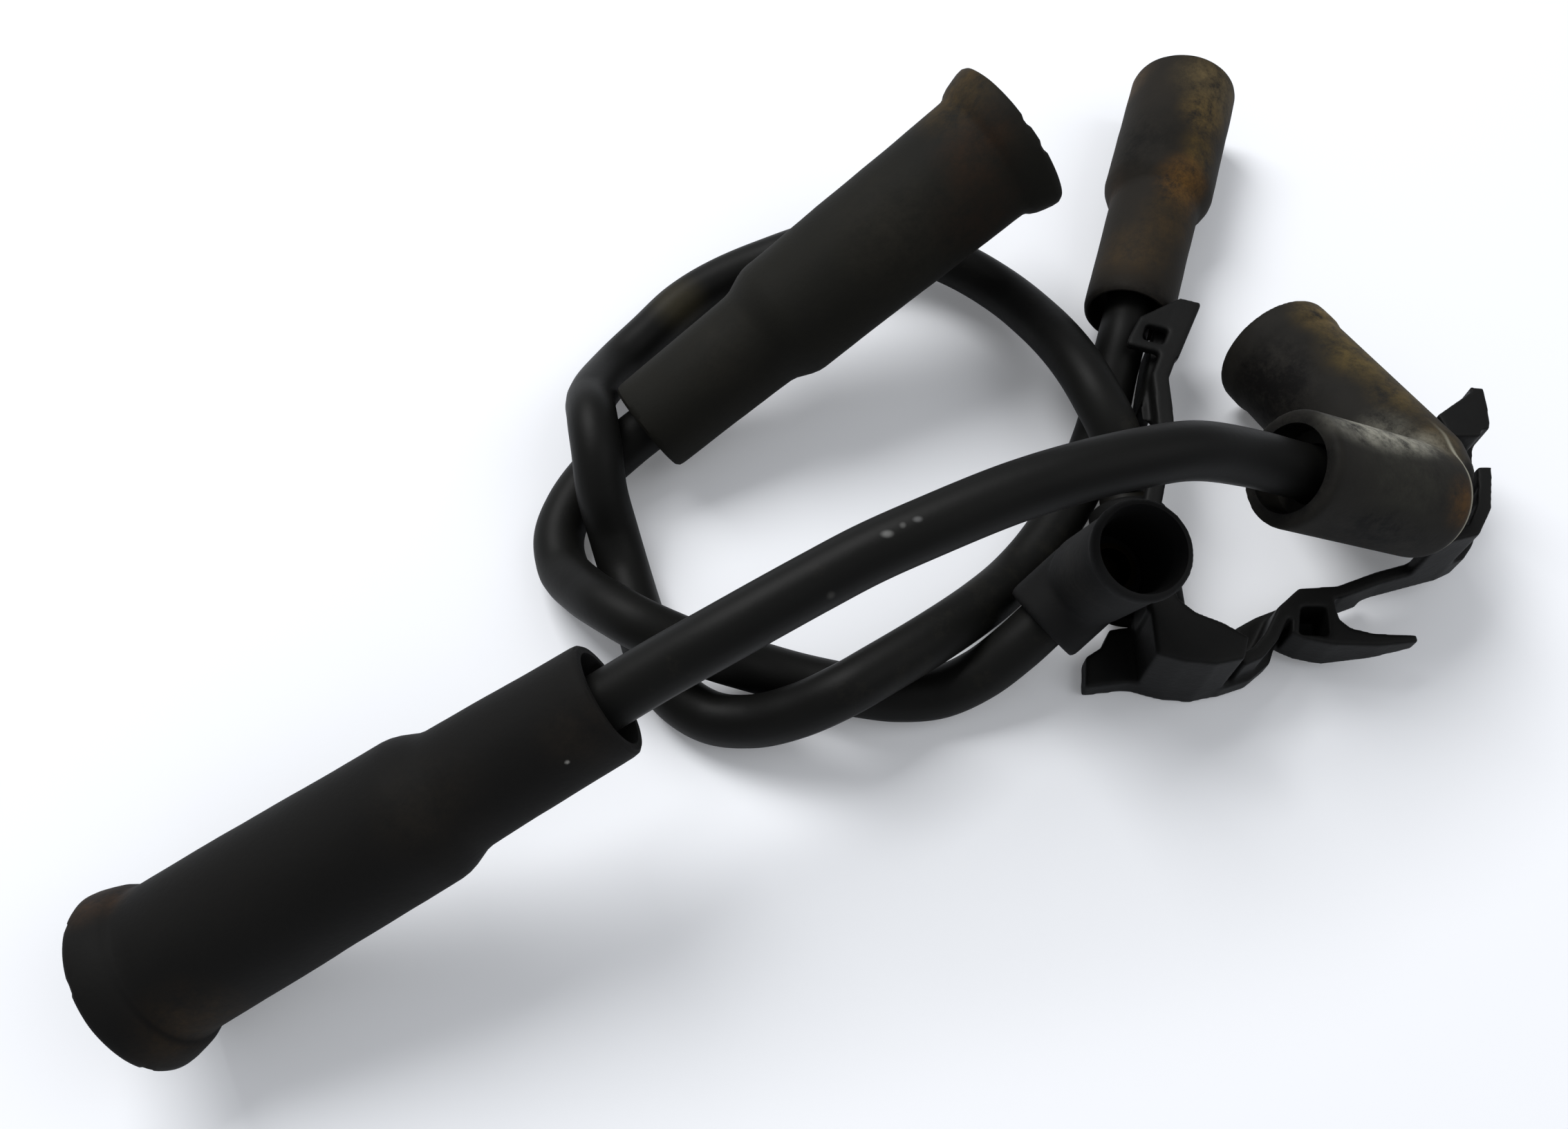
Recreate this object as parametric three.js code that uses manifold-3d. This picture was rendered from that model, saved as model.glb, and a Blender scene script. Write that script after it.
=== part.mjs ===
// A linked set of ignition leads, lying on a table: three 7 mm leads, their moulded rubber
// boots with the metal terminals inside, and the plastic holder that joins the coil ends.
// Millimetres, +Z up, origin on the table below the middle of the boots and the holder.
import * as THREE from 'three';
import { mergeVertices } from 'three/addons/utils/BufferGeometryUtils.js';
import Module from 'manifold-3d';

const wasm = await Module();
wasm.setup();

// Driving dimensions
const cableDiameter = 7;
const gap = 0.3;                     // clearance left between two pieces that touch
const barrelWall = 0.5;              // sheet thickness of a terminal's crimp barrel
const barrelLength = 9;
const webThickness = 1;              // floor between a terminal's barrel and its sleeve
const counterboreRadius = 5.6;       // open ring round the cable at a boot's wire end
const counterboreDepth = 4;

const plugBootLength = 65;
const plugMouthRadius = 11.3;
const plugRimLength = 5.2;           // flared rim at the mouth
const plugBodyRadius = 9.6;          // just behind the rim
const plugStepRadius = 9;            // where the wide part ends
const plugStepAt = 40;
const plugShoulderLength = 4.5;
const plugNeckRadius = 7.5;
const plugEndRadius = 7.1;
const plugSocketRadius = 6.9;        // takes a spark plug's insulator
const plugSocketDepth = 36;
const plugSleeveRadius = 3.2;        // takes the plug's terminal nut
const plugSleeveLength = 12;
const snapWireRadius = 0.45;         // spring ring round the sleeve
const snapRingFromEnd = 3;

const straightBootRadius = 8.25;
const straightBootLength = 46;
const straightWideLength = 22;
const straightShoulderLength = 3;
const straightNeckRadius = 6.75;
const straightSocketRadius = 6.1;
const straightSocketDepth = 26;

const smallBootRadius = 5.6;
const smallBootLength = 15;
const smallNeckRadius = 5.3;
const smallSocketDepth = 5;
const smallSleeveLength = 3;
const smallBarrelLength = 5;

const elbowCoilRadius = 8.4;
const elbowLipRadius = 8.7;
const elbowLipLength = 4;
const elbowCoilLength = 34.4;        // corner to mouth
const elbowWireRadius = 7.4;
const elbowWireLength = 25;          // corner to wire end
const elbowLean = 5.7;               // degrees, wire leg towards the mouth
const elbowSocketRadius = 6.1;
const elbowSocketFloor = 10;         // socket floor above the corner

const smallElbowCoilLength = 19;
const smallElbowWireLength = 8;
const smallElbowLean = -22;
const smallElbowWireRadius = 5.8;
const smallElbowRadius = 6;
const smallElbowSocketRadius = 4.9;
const smallElbowSocketFloor = 6;

const coilSleeveRadius = 2.6;        // takes a coil tower's stud
const coilSleeveLength = 9;
const sleeveWall = 0.7;
const sleeveStart = 1.2;             // above an elbow's corner

const holderWall = 1.8;
const clipWall = 1.6;
const clipLength = 6;
const clipFromEnd = 7;               // from the straight boot's wire end
const stripBottom = 2;
const stripTop = 9;
const cradleTop = 18;                // top of the wall that wraps the large elbow
const cradleStart = 77;              // where the strip rises to that wall
const cradleBottom = 4;
const cradleBottomFrom = 72;
const strapBottom = 6;
const strapTop = 13.5;
const strapWall = 2.4;
const webTop = 11;                   // web between the strap and the cable beside it
const gutterBottom = 1.5;
const gutterTop = 4;
const notchWidth = 5.8;
const notchDepth = 5;
const blockTop = 14;                 // block before the small straight boot
const wingTop = 3.5;
const pocketFloor = 3.5;
const fingerTipHeight = 2.6;         // the hook's finger thins from below
const fingerStart = 66;
const fingerLength = 10.4;

const roundSides = 32;
const boreSides = 24;
const cableSides = 10;
const cableStep = 7.5;

const cableRadius = cableDiameter / 2;
const wireBore = cableRadius + gap;
const barrelRadius = wireBore + barrelWall;
const chamberRadius = barrelRadius + gap;

const rubber = { color: 0x232220, roughness: 0.75, metalness: 0 };
const dustyRubber = { color: 0x35302a, roughness: 0.85, metalness: 0 };
const cableRubber = { color: 0x1b1b1d, roughness: 0.55, metalness: 0 };
const plastic = { color: 0x1d1d1e, roughness: 0.5, metalness: 0 };
const brass = { color: 0xb09a62, roughness: 0.35, metalness: 1 };
const springSteel = { color: 0x9a9ca0, roughness: 0.3, metalness: 1 };

const set = new THREE.Group();

function vec(x, y, z) {
  return new THREE.Vector3(x, y, z);
}

// One closed mesh with shared vertices and its faces pointing out.
function closed(geometry) {
  const bare = geometry.clone();
  for (const name of Object.keys(bare.attributes)) {
    if (name !== 'position') bare.deleteAttribute(name);
  }
  const merged = mergeVertices(bare, 1e-4);
  const place = merged.attributes.position;
  const corner = [0, 1, 2].map(() => new THREE.Vector3());
  const faces = [];
  let volume = 0;
  for (let i = 0; i < merged.index.count; i += 3) {
    const [a, b, c] = [0, 1, 2].map((k) => merged.index.getX(i + k));
    if (a === b || b === c || c === a) continue;
    faces.push(a, b, c);
    [a, b, c].forEach((v, k) => corner[k].fromBufferAttribute(place, v));
    volume += corner[0].dot(corner[1].clone().cross(corner[2]));
  }
  if (volume < 0) faces.reverse();
  merged.setIndex(faces);
  return merged;
}

function solid(geometry) {
  const mesh = closed(geometry);
  return new wasm.Manifold(new wasm.Mesh({
    numProp: 3,
    vertProperties: new Float32Array(mesh.attributes.position.array),
    triVerts: new Uint32Array(mesh.index.array),
  }));
}

function geometryOf(manifold) {
  const mesh = manifold.getMesh();
  const geometry = new THREE.BufferGeometry();
  geometry.setAttribute('position', new THREE.BufferAttribute(mesh.vertProperties, 3));
  geometry.setIndex(new THREE.BufferAttribute(mesh.triVerts, 1));
  return geometry;
}

// A turned shape about +Z from [radius, height] pairs.
function turned(profile, sides) {
  const points = profile.map(([r, z]) => new THREE.Vector2(r, z));
  return new THREE.LatheGeometry(points, sides).rotateX(Math.PI / 2);
}

function rod(radius, from, to, sides) {
  return turned([[0, from], [radius, from], [radius, to], [0, to]], sides);
}

// The same shape with its axis along +X instead of +Z.
function alongX(geometry) {
  return geometry.rotateY(Math.PI / 2);
}

// The same, with the axis leaned towards +Z by an angle in degrees.
function leaned(geometry, lean) {
  return alongX(geometry).rotateY(THREE.MathUtils.degToRad(-lean));
}

function add(name, geometry, finish, matrix) {
  const mesh = new THREE.Mesh(closed(geometry), new THREE.MeshStandardMaterial(finish));
  mesh.name = name;
  if (matrix) mesh.applyMatrix4(matrix);
  set.add(mesh);
}

// A frame at a boot's mouth, with +Z running into the boot.
function axisFrame(mouth, inward) {
  const turn = new THREE.Quaternion().setFromUnitVectors(vec(0, 0, 1), inward);
  return new THREE.Matrix4().compose(mouth, turn, vec(1, 1, 1));
}

// A frame at an elbow's corner, with +Z along its coil leg and +X along its wire leg.
function cornerFrame(corner, coilWay, wireHint) {
  const z = coilWay.clone().normalize();
  const x = wireHint.clone().addScaledVector(z, -wireHint.dot(z)).normalize();
  const y = z.clone().cross(x);
  return new THREE.Matrix4().makeBasis(x, y, z).setPosition(corner);
}

// Where the pieces lie
const tableTouch = 0.02;

function lyingHeight(radius, rise) {
  return radius * Math.sqrt(1 - rise * rise) + tableTouch;
}

const frontWay = vec(0.856, 0.421, 0.31).normalize();
const frontMouth = vec(-81.26, -65.71, lyingHeight(plugMouthRadius, frontWay.z));
const frontFrame = axisFrame(frontMouth, frontWay);

const rearWay = vec(-0.787, -0.522, -0.34).normalize();
const rearEnd = vec(-25.46, 11.09, 7.8);
const rearMouth = rearEnd.clone().addScaledVector(rearWay, -plugBootLength);
const rearFrame = axisFrame(rearMouth, rearWay);

const upperWay = vec(-0.3, -0.954, 0).normalize();
const upperMouth = vec(57.94, 73.59, straightBootRadius + tableTouch);
const upperFrame = axisFrame(upperMouth, upperWay);

const lowerWay = vec(-0.03, 1, 0).normalize();
const lowerMouth = vec(41.8, -16.5, smallBootRadius + tableTouch);
const lowerFrame = axisFrame(lowerMouth, lowerWay);

const elbowWay = vec(-0.345, 0.893, -0.288).normalize();
const elbowMouthHeight = lyingHeight(elbowLipRadius, elbowWay.z);
const elbowCorner = vec(76.44, -6.81, elbowMouthHeight - elbowCoilLength * elbowWay.z);
const elbowFrame = cornerFrame(elbowCorner, elbowWay, vec(-0.87, -0.07, 0.48));

const smallElbowCorner = vec(32.84, -15.81, 13.2);
const smallElbowFrame = cornerFrame(smallElbowCorner, vec(0.146, -0.223, 0.964),
  vec(-0.72, -0.6, -0.3));

// Straight boots: one turned rubber shell each, open at both ends
function straightShell(outer, socket, socketDepth, length, barrelEnd) {
  const mouthFunnel = 0.5;
  const funnelDepth = 2;
  const inner = [
    [socket + mouthFunnel, 0],
    [socket, funnelDepth],
    [socket, socketDepth],
    [chamberRadius, socketDepth],
    [chamberRadius, barrelEnd + gap],
    [wireBore, barrelEnd + gap],
    [wireBore, length - counterboreDepth],
    [counterboreRadius, length - counterboreDepth],
    [counterboreRadius, length],
  ];
  if (socket <= chamberRadius) inner.splice(2, 2);
  return turned([...outer, ...inner.reverse(), outer[0]], roundSides);
}

// A terminal for a straight boot: a sleeve, a web and a crimp barrel in one turned piece.
function straightTerminal(webAt, sleeve, sleeveLength, crimpLength) {
  return turned([
    [0, webAt],
    [sleeve, webAt],
    [sleeve, webAt - sleeveLength],
    [barrelRadius, webAt - sleeveLength],
    [barrelRadius, webAt + webThickness + crimpLength],
    [wireBore, webAt + webThickness + crimpLength],
    [wireBore, webAt + webThickness],
    [0, webAt + webThickness],
  ], boreSides);
}

// Plug boots: a flared rim, a long wide body, a shoulder and a neck
const plugOuter = [
  [plugMouthRadius, 0],
  [plugMouthRadius - 0.1, 0.5],
  [plugMouthRadius - 0.75, plugRimLength * 0.5],
  [plugMouthRadius - 0.95, plugRimLength * 0.75],
  [plugBodyRadius, plugRimLength],
  [(plugBodyRadius + plugStepRadius) / 2, (plugRimLength + plugStepAt) / 2],
  [plugStepRadius, plugStepAt],
  [plugStepRadius - 0.35, plugStepAt + plugShoulderLength * 0.35],
  [plugNeckRadius + 0.15, plugStepAt + plugShoulderLength * 0.85],
  [plugNeckRadius, plugStepAt + plugShoulderLength],
  [plugEndRadius, plugBootLength - 0.6],
  [plugEndRadius - 0.5, plugBootLength],
];
const plugWebAt = plugSocketDepth + 2;
const plugBarrelEnd = plugWebAt + webThickness + barrelLength;
const plugShell = () => straightShell(plugOuter, plugSocketRadius, plugSocketDepth,
  plugBootLength, plugBarrelEnd);
add('plug_boot_front', plugShell(), rubber, frontFrame);
add('plug_boot_rear', plugShell(), rubber, rearFrame);

const plugTerminal = () => straightTerminal(plugWebAt, plugSleeveRadius, plugSleeveLength,
  barrelLength);
add('plug_terminal_front', plugTerminal(), brass, frontFrame);
add('plug_terminal_rear', plugTerminal(), brass, rearFrame);

// Spring rings that grip the sleeve of each plug terminal, open at one side
function snapRing() {
  const ringRadius = barrelRadius + gap + snapWireRadius;
  const ring = new THREE.TorusGeometry(ringRadius, snapWireRadius, 8, boreSides);
  const mouth = new THREE.BoxGeometry(ringRadius, ringRadius * 0.8, 4 * snapWireRadius);
  const cut = solid(ring).subtract(solid(mouth.translate(ringRadius, 0, 0)));
  return geometryOf(cut).translate(0, 0, plugWebAt - plugSleeveLength + snapRingFromEnd);
}
add('snap_ring_front', snapRing(), springSteel, frontFrame);
add('snap_ring_rear', snapRing(), springSteel, rearFrame);

// Straight coil boot of the middle lead, lying on the table
const straightOuter = [
  [straightBootRadius - 0.4, 0],
  [straightBootRadius, 0.5],
  [straightBootRadius, straightWideLength],
  [straightNeckRadius + 0.3, straightWideLength + straightShoulderLength * 0.8],
  [straightNeckRadius, straightWideLength + straightShoulderLength],
  [straightNeckRadius - 0.15, straightBootLength - 0.5],
  [straightNeckRadius - 0.6, straightBootLength],
];
const straightWebAt = straightSocketDepth + 1;
const straightBarrelEnd = straightWebAt + webThickness + barrelLength;
add('coil_boot_straight', straightShell(straightOuter, straightSocketRadius,
  straightSocketDepth, straightBootLength, straightBarrelEnd), dustyRubber, upperFrame);
add('coil_terminal_straight', straightTerminal(straightWebAt, plugSleeveRadius,
  coilSleeveLength, barrelLength), brass, upperFrame);

// Small straight boot, hidden under the small elbow
const smallOuter = [
  [smallBootRadius - 0.3, 0],
  [smallBootRadius, 0.4],
  [smallBootRadius, smallSocketDepth],
  [smallNeckRadius, smallSocketDepth + 1],
  [smallNeckRadius, smallBootLength],
];
const smallWebAt = smallSocketDepth - 1;
const smallCounterbore = 4.3;
const smallBarrelEnd = smallWebAt + webThickness + smallBarrelLength;
function smallShell() {
  const inner = [
    [chamberRadius + 0.3, 0],
    [chamberRadius, 1.5],
    [chamberRadius, smallBarrelEnd + gap],
    [wireBore, smallBarrelEnd + gap],
    [wireBore, smallBootLength - 2],
    [smallCounterbore, smallBootLength - 2],
    [smallCounterbore, smallBootLength],
  ];
  return turned([...smallOuter, ...inner.reverse(), smallOuter[0]], roundSides);
}
add('coil_boot_small', smallShell(), rubber, lowerFrame);
add('coil_terminal_small', straightTerminal(smallWebAt, coilSleeveRadius, smallSleeveLength,
  smallBarrelLength), brass, lowerFrame);

// Elbow boots: a coil leg along +Z and a wire leg along +X, moulded as one
function elbowOuter(size, grow) {
  const wire = turned([
    [0, -size.overhang - grow],
    [size.wireRadius - size.round + grow, -size.overhang - grow],
    [size.wireRadius - size.round * 0.3 + grow, -size.overhang + size.round * 0.3],
    [size.wireRadius + grow, -size.overhang + size.round],
    [size.wireRadius + grow, size.wireLength - 0.5],
    [size.wireRadius - 0.4 + grow, size.wireLength + grow],
    [0, size.wireLength + grow],
  ], roundSides);
  const coil = turned([
    [0, -grow],
    [size.coilRadius + grow - 0.6, -grow],
    [size.coilRadius + grow, size.wireRadius * 0.5],
    [size.coilRadius + grow, size.coilLength - size.lipLength - 0.3],
    [size.lipRadius + grow, size.coilLength - size.lipLength],
    [size.lipRadius + grow, size.coilLength - 0.4],
    [size.lipRadius + grow - 0.4, size.coilLength + grow],
    [0, size.coilLength + grow],
  ], roundSides);
  return solid(leaned(wire, size.lean)).add(solid(coil));
}

function elbowBoot(size) {
  const seat = size.barrelFrom + webThickness + size.barrelLength;
  const cuts = [
    turned([
      [0, size.socketFloor],
      [size.socketRadius, size.socketFloor],
      [size.socketRadius, size.coilLength - 2],
      [size.socketRadius + 0.5, size.coilLength + 0.01],
      [size.socketRadius + 0.5, size.coilLength + 1],
      [0, size.coilLength + 1],
    ], boreSides),
    rod(size.sleeveRadius + sleeveWall + gap, sleeveStart - gap, size.socketFloor + 1,
      boreSides),
    leaned(rod(chamberRadius, -gap, seat + gap, boreSides), size.lean),
    leaned(rod(wireBore, 0, size.wireLength + 1, boreSides), size.lean),
    leaned(rod(size.endBore, size.wireLength - size.endDepth, size.wireLength + 1,
      boreSides), size.lean),
  ];
  return cuts.reduce((body, cut) => body.subtract(solid(cut)), elbowOuter(size, 0));
}

// A right-angled terminal: a crimp barrel on the wire leg and an open sleeve on the coil leg.
function elbowTerminal(size) {
  const outerRadius = size.sleeveRadius + sleeveWall;
  const barrelEnd = size.barrelFrom + webThickness + size.barrelLength;
  const top = size.socketFloor + size.sleeveLength;
  const sleeveFloor = size.socketFloor - 1;
  const body = solid(leaned(rod(barrelRadius, 0, barrelEnd, boreSides), size.lean))
    .add(solid(rod(outerRadius, sleeveStart, top, boreSides)));
  return body
    .subtract(solid(leaned(rod(wireBore, size.barrelFrom + webThickness, barrelEnd + 1,
      boreSides), size.lean)))
    .subtract(solid(rod(size.sleeveRadius, sleeveFloor, top + 1, boreSides)));
}

const largeElbow = {
  lean: elbowLean,
  wireRadius: elbowWireRadius,
  wireLength: elbowWireLength,
  coilRadius: elbowCoilRadius,
  coilLength: elbowCoilLength,
  lipRadius: elbowLipRadius,
  lipLength: elbowLipLength,
  overhang: 0.8,
  round: 2.4,
  socketRadius: elbowSocketRadius,
  socketFloor: elbowSocketFloor,
  sleeveRadius: plugSleeveRadius,
  sleeveLength: coilSleeveLength,
  barrelFrom: 4,
  barrelLength,
  endBore: counterboreRadius,
  endDepth: counterboreDepth,
};
const smallElbow = {
  lean: smallElbowLean,
  wireRadius: smallElbowWireRadius,
  wireLength: smallElbowWireLength,
  coilRadius: smallElbowRadius,
  coilLength: smallElbowCoilLength,
  lipRadius: smallElbowRadius + 0.3,
  lipLength: 1.5,
  overhang: 3.4,
  round: 3,
  socketRadius: smallElbowSocketRadius,
  socketFloor: smallElbowSocketFloor,
  sleeveRadius: coilSleeveRadius,
  sleeveLength: 2.5,
  barrelFrom: 0,
  barrelLength: smallBarrelLength,
  endBore: wireBore,
  endDepth: 0,
};
add('coil_boot_elbow', geometryOf(elbowBoot(largeElbow)), dustyRubber, elbowFrame);
add('coil_terminal_elbow', geometryOf(elbowTerminal(largeElbow)), brass, elbowFrame);
add('coil_boot_small_elbow', geometryOf(elbowBoot(smallElbow)), rubber, smallElbowFrame);
add('coil_terminal_small_elbow', geometryOf(elbowTerminal(smallElbow)), brass,
  smallElbowFrame);

// Cables: each starts at its terminal's web, runs straight out of its boot, then follows
// the points chosen by hand below, and ends at the other boot's terminal.
function bootPoint(frame, x, z) {
  return vec(x, 0, z).applyMatrix4(frame);
}

function straightRun(frame, webAt, length, beyond) {
  const from = webAt + webThickness + gap;
  return [from, (from + length) / 2, length, length + beyond]
    .map((z) => bootPoint(frame, 0, z));
}

function elbowRun(frame, size, beyond) {
  const from = size.barrelFrom + webThickness + gap;
  const lean = THREE.MathUtils.degToRad(size.lean);
  return [from, (from + size.wireLength) / 2, size.wireLength, size.wireLength + beyond]
    .map((x) => bootPoint(frame, x * Math.cos(lean), x * Math.sin(lean)));
}

const archRoute = [
  [-13.66, -32.71, 35.2], [-8.06, -29.81, 36.4], [-2.66, -26.91, 37.2], [2.94, -24.11, 38.2],
  [9.14, -21.51, 39.2], [19.04, -17.51, 40.2], [26.84, -14.91, 40.4], [34.14, -12.71, 39.8],
  [40.74, -10.71, 38],
];
const innerRoute = [
  [-33.56, 5.29, 3.9], [-36.46, 0.29, 3.6], [-37.56, -4.31, 3.6], [-36.46, -9.51, 4.4],
  [-32.86, -14.41, 7.8], [-28.86, -18.31, 11], [-24.46, -21.31, 12.1], [-19.26, -23.01, 10.3],
  [-14.76, -23.61, 7.4], [-9.66, -24.21, 4.8], [-3.66, -25.51, 3.6], [4.34, -27.21, 3.6],
  [8.84, -27.71, 3.6], [14.24, -27.31, 3.9], [19.54, -25.31, 5.4],
];
const outerRoute = [
  [41.54, 21.09, 6.8], [39.94, 14.79, 4.8], [37.94, 9.49, 3.9], [34.94, 2.99, 3.6],
  [29.74, -5.01, 3.6], [25.14, -10.61, 4.2], [19.84, -16.41, 7.6], [13.14, -22.31, 10.8],
  [5.64, -27.41, 11.8], [0.94, -30.11, 11.5], [-4.76, -31.71, 8.6], [-10.56, -31.91, 5.4],
  [-16.06, -30.61, 3.6], [-20.66, -27.51, 3.6], [-23.56, -23.01, 3.6], [-25.26, -18.31, 3.6],
  [-26.76, -13.91, 3.6], [-28.36, -8.91, 3.9], [-29.66, -4.91, 5.8], [-31.06, -0.51, 10.2],
  [-31.66, 4.09, 12.8], [-32.56, 9.09, 12.9], [-33.46, 15.09, 9.2], [-30.96, 23.59, 4.4],
  [-26.36, 29.89, 3.6], [-21.86, 35.29, 3.6], [-16.86, 39.09, 3.8], [-9.66, 42.39, 4.6],
  [0.74, 44.99, 6.4], [11.34, 44.59, 6.6], [19.74, 41.59, 5.6], [26.64, 36.19, 5.8],
  [30.84, 29.99, 7.6], [33.54, 23.89, 10], [35.54, 18.19, 11.8], [37.34, 12.79, 12.5],
  [39.34, 8.09, 11.4], [40.64, 3.89, 8.6],
];

function cable(name, start, route, end) {
  const points = [...start, ...route.map(([x, y, z]) => vec(x, y, z)), ...end.reverse()];
  const path = new THREE.CatmullRomCurve3(points, false, 'centripetal');
  path.arcLengthDivisions = 2000;
  const section = new THREE.Shape(Array.from({ length: cableSides }, (_, i) => {
    const turn = (i * 2 * Math.PI) / cableSides;
    return new THREE.Vector2(cableRadius * Math.cos(turn), cableRadius * Math.sin(turn));
  }));
  const steps = Math.round(path.getLength() / cableStep);
  add(name, new THREE.ExtrudeGeometry(section, { steps, extrudePath: path }), cableRubber);
}
cable('lead_cable_arch',
  straightRun(frontFrame, plugWebAt, plugBootLength, 7),
  archRoute,
  elbowRun(elbowFrame, largeElbow, 7));
cable('lead_cable_inner',
  straightRun(rearFrame, plugWebAt, plugBootLength, 4),
  innerRoute,
  elbowRun(smallElbowFrame, smallElbow, 4));
cable('lead_cable_outer',
  straightRun(upperFrame, straightWebAt, straightBootLength, 4),
  outerRoute,
  straightRun(lowerFrame, smallWebAt, smallBootLength, 3));

// Plastic holder, one moulding: a wall that wraps the large elbow, a strip with a hook,
// a block before the small boot, and a strap up to a clip on the straight boot.
// Plan outlines are [x, y] and rise from the table.
function slab(outline, from, to) {
  const shape = new THREE.Shape(outline.map(([x, y]) => new THREE.Vector2(x, y)));
  const geometry = new THREE.ExtrudeGeometry(shape, { depth: to - from, bevelEnabled: false });
  return solid(geometry.translate(0, 0, from));
}

// A strip of even thickness, on the left of the line through the given points.
function strip(points, wall, from, to) {
  const way = points.map(([x, y]) => new THREE.Vector2(x, y));
  const other = way.map((point, i) => {
    const before = way[Math.max(i - 1, 0)];
    const after = way[Math.min(i + 1, way.length - 1)];
    const along = after.clone().sub(before).normalize();
    return [point.x - along.y * wall, point.y + along.x * wall];
  });
  return slab([...points, ...other.reverse()], from, to);
}

function inPlace(geometry, matrix) {
  return solid(geometry.applyMatrix4(matrix));
}

const wallPath = [
  [53.2, -25.6], [55.8, -24.4], [58.2, -21.8], [60.2, -18.4], [62.6, -16.2], [67.6, -15.9],
  [73.2, -13.8], [77.4, -12.6], [82.6, -11.2], [85, -7.4], [86.2, -2.4], [86.8, 2],
  [87.8, 6], [88.1, 11.1],
];
const floorOutline = [
  [62, -14.6], [57.7, -16.3], [54.8, -17.9], [52.4, -20.6], [49, -24], [51.4, -26.8],
  [55.6, -25.4], [58.6, -23],
];
const footOutline = [
  [79, -12], [82.4, -11.3], [84.9, -10.1], [86.4, -8.2], [87.8, -5.4], [87.8, -3],
  [85.4, -3], [84, -7], [81.6, -10.4], [79, -10.8],
];
const tipOutline = [
  [87, 11], [81, 6.8], [82, 3.4], [86, 3.4], [87.2, 7],
];
const hookOutline = [
  [61.2, -15.2], [60, -20.9], [62.1, -21.9], [65.1, -22.6], [71.3, -22.8], [76.4, -22.2],
  [76.2, -21.2], [70.9, -21], [67.9, -20.2], [66.6, -18.9], [66.4, -15.2],
];
const pocketOutline = [
  [61.9, -17.2], [65.2, -17.2], [64.9, -21.4], [61, -21.1],
];
const blockOutline = [
  [40.6, -26], [44, -27], [48, -27.4], [51.6, -26.6], [52.6, -23.6], [49.6, -21.6],
  [46.4, -20.2], [44.4, -18.4], [43.6, -15.3], [40.6, -15.3],
];
const wingOutline = [
  [42, -17.5], [37.7, -18.1], [36.3, -20.7], [34.1, -22.1], [33.6, -26.5], [39.2, -25.8],
  [42, -26.2],
];
const clipAlong = straightBootLength - clipFromEnd + clipLength / 2;
const clipSide = upperMouth.clone().addScaledVector(upperWay, clipAlong)
  .addScaledVector(vec(-upperWay.y, upperWay.x, 0), straightNeckRadius + gap + clipWall);
const strapPath = [
  [42.6, -20], [43, -12], [43.8, -5], [45.2, 0], [46.8, 4.5], [47.3, 9.3], [47.4, 15.8],
  [50.2, 22.2], [52.3, 27], [clipSide.x, clipSide.y],
];
const webOutline = [
  [47.2, 26.2], [45.9, 21.3], [44.4, 14.9], [42.9, 10.3], [46.3, 9.8], [46.5, 16],
  [49, 22.4], [50.6, 26.2],
];
const gutterOutline = [
  [42.8, 11], [41.3, 6.2], [40.8, 1.6], [45.6, 1.6], [46.6, 6], [46.4, 11],
];

// The clip grips the right-hand and upper side of the straight boot's neck.
function straightClip() {
  const right = Math.atan2(upperWay.y, upperWay.x) + Math.PI / 2;
  const inner = straightNeckRadius + gap;
  const outer = inner + clipWall;
  const from = straightBootLength - clipFromEnd;
  const middle = from + clipLength / 2;
  const reach = 4 * outer;
  const collar = solid(rod(outer, from, from + clipLength, roundSides));
  const bore = solid(rod(inner, from - 1, from + clipLength + 1, roundSides));
  const openSide = new THREE.BoxGeometry(reach, reach, reach)
    .translate(-reach / 2 + 0.5, 0, middle)
    .rotateZ(right);
  const underside = new THREE.BoxGeometry(reach, reach, reach)
    .translate(0, -reach / 2 - straightNeckRadius * 0.6, middle)
    .rotateZ(right);
  const hole = new THREE.BoxGeometry(reach, clipLength * 0.6, clipLength * 0.5)
    .translate(reach / 2, 0, middle)
    .rotateZ(right + Math.PI * 0.3);
  const clip = collar.subtract(bore).subtract(solid(openSide)).subtract(solid(underside))
    .subtract(solid(hole));
  return inPlace(geometryOf(clip), upperFrame);
}

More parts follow.
